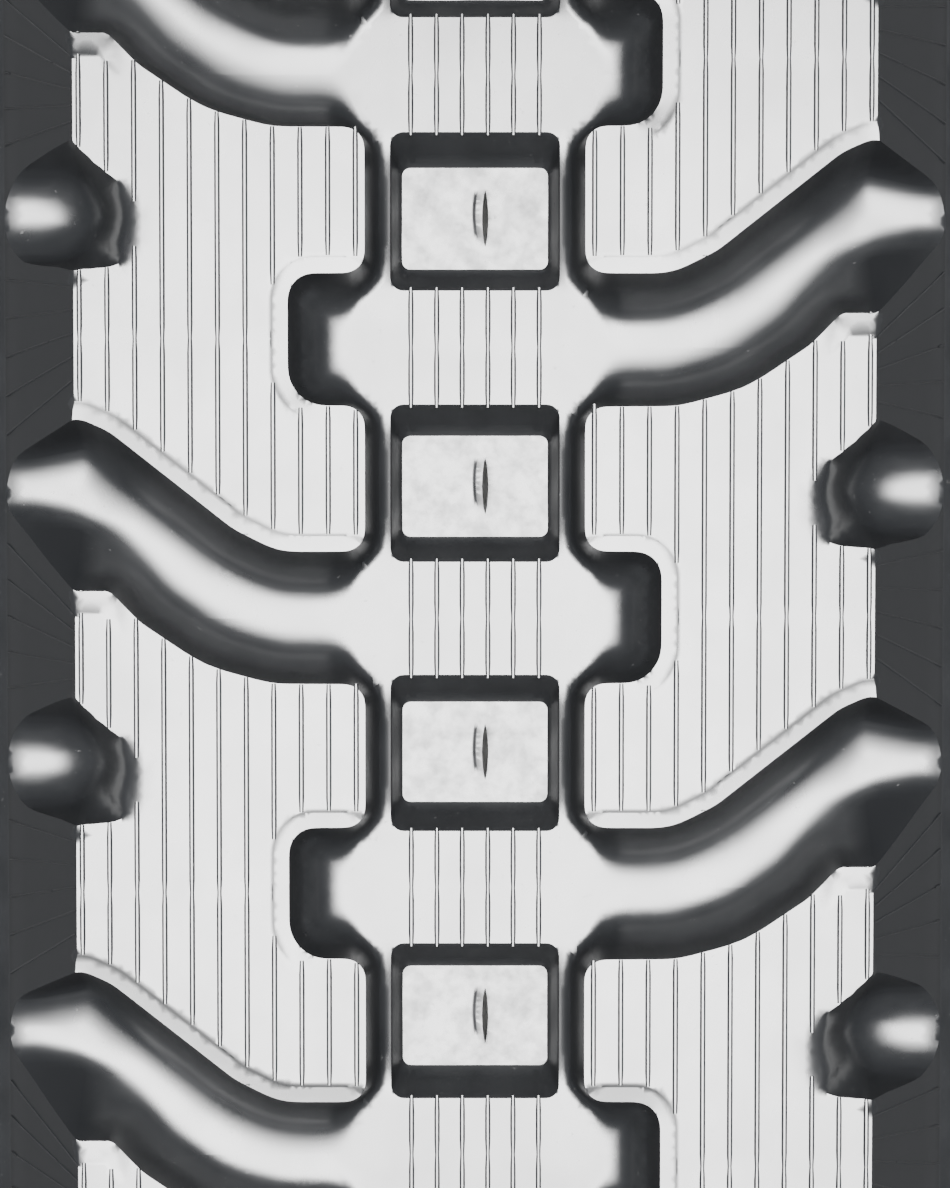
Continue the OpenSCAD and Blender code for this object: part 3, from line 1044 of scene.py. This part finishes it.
def make_film(span):
    """The thin film across a window, with its slit and a curved crease. At a sawn end it is half a film."""
    middle = span.hinge if span.hinge is not None else (section_end if span.index else -section_end)
    half_w, half_l = FILM_HALF[0] + 0.3, FILM_HALF[1] + 0.3
    corners = [(-half_w, -half_l), (half_w, -half_l), (half_w, half_l), (-half_w, half_l)]
    outline = rounded(corners, [2.8] * 4, 15)
    t = np.linspace(0, 2 * np.pi, 37)[:-1]
    slit_x, slit_l, slit_w = SLIT
    slit = np.array([(slit_x + slit_w / 2 * math.sin(a) * abs(math.sin(a)) ** 0.6, -slit_l / 2 * math.cos(a))
                     for a in t])
    points, edges = [], []

    def loop(line, closed=True):
        n = len(points)
        points.extend(line)
        edges.extend((n + i, n + i + 1) for i in range(len(line) - 1))
        if closed:
            edges.append((n + len(line) - 1, n))

    dense = []
    for i, p in enumerate(outline):
        q = outline[(i + 1) % len(outline)]
        n = max(1, int(np.hypot(*(q - p)) / 2.5))
        dense += [p + (q - p) * s / n for s in range(n)]
    loop(dense)
    loop(list(slit))
    loop([(x, 0.0) for x in np.linspace(-half_w, half_w, 25)], closed=False)
    for off in (-0.6, -0.25, 0.0, 0.25, 0.6):
        ys = np.linspace(-CREASE_L / 2, CREASE_L / 2, 15)
        loop([(CREASE_X + CREASE_BOW * (y / CREASE_L * 2) ** 2 + off, y + CREASE_Y) for y in ys],
             closed=False)
    for x in np.arange(-half_w + 1.6, half_w, 1.9):
        for y in np.arange(-half_l + 1.4, half_l, 1.9):
            points.append((x, y))
    plan, faces = triangulated(points, edges, 1)
    x, y = plan.T
    crease_at = CREASE_X + CREASE_BOW * ((y - CREASE_Y) / CREASE_L * 2) ** 2
    faded = 1 - smooth(CREASE_L / 2 - 2, CREASE_L / 2, np.abs(y - CREASE_Y))
    on_crease = np.exp(-((x - crease_at) / 0.3) ** 2) * faded
    seed = span.index * 1.7
    ripple = 0.13 * np.sin(x / 5.1 + seed) * np.cos(y / 6.3 - seed) + 0.06 * np.sin(x / 2.3 + y / 3.1 + seed)
    lips = 0.35 * np.exp(-((x - slit_x) / 1.5) ** 2) * (1 - smooth(6, 10, np.abs(y)))
    z = film_z + (ripple + lips) * (1 - smooth(14, 17, np.abs(y))) - 0.22 * on_crease
    count = len(plan)
    verts = [(a, b + middle, c) for a, b, c in zip(x, y, z)]
    verts += [(a, b + middle, film_z - film_t) for a, b in zip(x, y)]
    polys, used = [], set()
    for f in faces:
        c = plan[list(f)].mean(axis=0)
        kept = c[1] < 0 if span.index == links else c[1] > 0
        in_slit = abs(c[1]) < slit_l / 2 and nearest(c[:1], c[1:], slit)[0][0] < 0
        if in_slit or (span.hinge is None and not kept):
            continue
        a, b, d = (plan[i] for i in f[:3])
        if (b[0] - a[0]) * (d[1] - a[1]) - (b[1] - a[1]) * (d[0] - a[0]) < 0:
            f = f[::-1]
        f = tuple(f)
        polys += [f, tuple(count + i for i in f[::-1])]
        used.update(zip(f, f[1:] + f[:1]))
    polys += [(a, count + a, count + b, b) for a, b in used if (b, a) not in used]
    piece = new_object(f"window_film_{span.label}", verts, polys)
    mesh = bmesh.new()
    mesh.from_mesh(piece.data)
    bmesh.ops.delete(mesh, geom=[v for v in mesh.verts if not v.link_faces], context="VERTS")
    mesh.to_mesh(piece.data)
    mesh.free()
    finish_with(piece, film_rubber)
    span.carry(piece)
    for n in span.link_numbers:
        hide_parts(f"window_film_{n}")


def make_core(n):
    """The forged core with rounded edges."""
    source = frame["nodes"][f"steel_core_{n}"]
    piece = bpy.data.objects.new(f"forged_core_{n}", source.data.copy())
    bpy.context.scene.collection.objects.link(piece)
    mesh = bmesh.new()
    mesh.from_mesh(piece.data)
    bmesh.ops.remove_doubles(mesh, verts=mesh.verts, dist=1e-6)
    bmesh.ops.dissolve_limit(mesh, angle_limit=math.radians(2), verts=mesh.verts, edges=mesh.edges)
    sharp = [e for e in mesh.edges if len(e.link_faces) == 2 and e.calc_face_angle(0) > math.radians(30)]
    bmesh.ops.bevel(mesh, geom=sharp, offset=2.4 * MM, segments=4, profile=0.5, affect="EDGES",
                    clamp_overlap=True)
    bmesh.ops.triangulate(mesh, faces=[f for f in mesh.faces if len(f.verts) > 4])
    mesh.to_mesh(piece.data)
    mesh.free()
    piece.data.shade_smooth()
    piece.data.set_sharp_from_angle(angle=math.radians(32))
    finish_with(piece, forged_steel)
    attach(piece, f"link_{n}")
    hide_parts(f"steel_core_{n}")


# Cords on each side, and the length of one turn of their wires
CORDS = 12
LAY = 28.0


def round_wire(line, radius, sides=8):
    """A closed round bar along a line of points that runs mostly along Y."""
    around = [(radius * math.cos(math.tau * s / sides), radius * math.sin(math.tau * s / sides))
              for s in range(sides)]
    verts = [(p[0] + dx, p[1], p[2] + dz) for p in line for dx, dz in around]
    faces = []
    for row in range(0, (len(line) - 1) * sides, sides):
        for s in range(sides):
            ahead = (s + 1) % sides
            faces.append((row + sides + s, row + sides + ahead, row + ahead, row + s))
    faces.append(tuple(range(sides)))
    faces.append(tuple((len(line) - 1) * sides + s for s in range(sides - 1, -1, -1)))
    return verts, faces


def make_cord_ends(n):
    """Seven-wire cords in the two end links, where the sawn ends show them."""
    for side in ("left", "right"):
        node = f"{side}_cords_{n}"
        low, high = box_mm(node)
        radius = (high[2] - low[2]) / 2
        wire_r = radius / 3
        xs = np.linspace(low[0] + radius, high[0] - radius, CORDS)
        # Out to the sawn end, and short of the next link's cords, which tilt when the track bends
        ys = np.linspace(low[1] + (-0.35 if n == 1 else 0.6), high[1] + (0.35 if n == links else -0.6), 26)
        parts = []
        for c, x in enumerate(xs):
            for w in range(7):
                off = 0 if w == 0 else 2 * wire_r
                line = []
                for y in ys:
                    a = math.tau * (y / LAY + w / 6) + c
                    line.append((x + off * math.cos(a), y, cord_z + off * math.sin(a)))
                parts.append(round_wire(line, wire_r))
        piece = joined(f"stranded_cords_{side}_{n}", parts, 40)
        finish_with(piece, wire)
        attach(piece, f"link_{n}")
        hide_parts(node)


for one_span in spans:
    make_rubber(one_span)
    make_ribs(one_span)
    make_fan_lines(one_span)
    make_film(one_span)
for number in range(1, links + 1):
    make_core(number)
for number in (1, links):
    make_cord_ends(number)
for name, node in frame["nodes"].items():
    if "cords" in name:
        node.data.materials.clear()
        node.data.materials.append(wire.material)


# ---------------------------------------------------------------- camera, light and floor
VIEW_HEIGHT = 950.0
VIEW_Y = -18.3
VIEW_TILT = math.radians(2.4)

camera_data = bpy.data.cameras.new("camera")
camera_data.sensor_fit = "VERTICAL"
camera_data.sensor_height = 36.0
camera_data.lens = 90.0
camera_data.shift_y = 0.1736
camera_data.clip_start = 0.05
camera = bpy.data.objects.new("camera", camera_data)
bpy.context.scene.collection.objects.link(camera)
camera.location = (0, VIEW_Y * MM, (base_z + VIEW_HEIGHT) * MM)
camera.rotation_euler = (-VIEW_TILT, 0, 0)
bpy.context.scene.camera = camera


def soft_box(name, place, size, watts, aim=(0, 0, 0)):
    data = bpy.data.lights.new(name, "AREA")
    data.shape = "RECTANGLE"
    data.size, data.size_y = size
    data.energy = watts
    light = bpy.data.objects.new(name, data)
    bpy.context.scene.collection.objects.link(light)
    light.location = place
    light.rotation_euler = (Vector(aim) - Vector(place)).to_track_quat("-Z", "Y").to_euler()
    return light


soft_box("overhead", (0, -0.02, 2.2), (1.1, 1.4), 142, (0, -0.02, 0))
soft_box("overhead_middle", (0, -0.02, 2.21), (1.75, 2.1), 118, (0, -0.02, 0))
soft_box("overhead_wide", (0, -0.02, 2.22), (2.7, 3.0), 72, (0, -0.02, 0))

world = bpy.data.worlds.new("studio")
world.use_nodes = True
world.node_tree.nodes["Background"].inputs["Color"].default_value = (0.9, 0.94, 1.0, 1)
world.node_tree.nodes["Background"].inputs["Strength"].default_value = 0.08
bpy.context.scene.world = world

FLOOR = 3.0
floor_corners = [(-FLOOR, -FLOOR, 0), (FLOOR, -FLOOR, 0), (FLOOR, FLOOR, 0), (-FLOOR, FLOOR, 0)]
floor_mesh = bpy.data.meshes.new("floor")
floor_mesh.from_pydata(floor_corners, [], [(0, 1, 2, 3)])
floor = bpy.data.objects.new("floor", floor_mesh)
bpy.context.scene.collection.objects.link(floor)
paper = bpy.data.materials.new("pale_floor")
paper.use_nodes = True
paper.node_tree.nodes["Principled BSDF"].inputs["Base Color"].default_value = (0.42, 0.42, 0.415, 1)
paper.node_tree.nodes["Principled BSDF"].inputs["Roughness"].default_value = 0.9
floor_mesh.materials.append(paper)
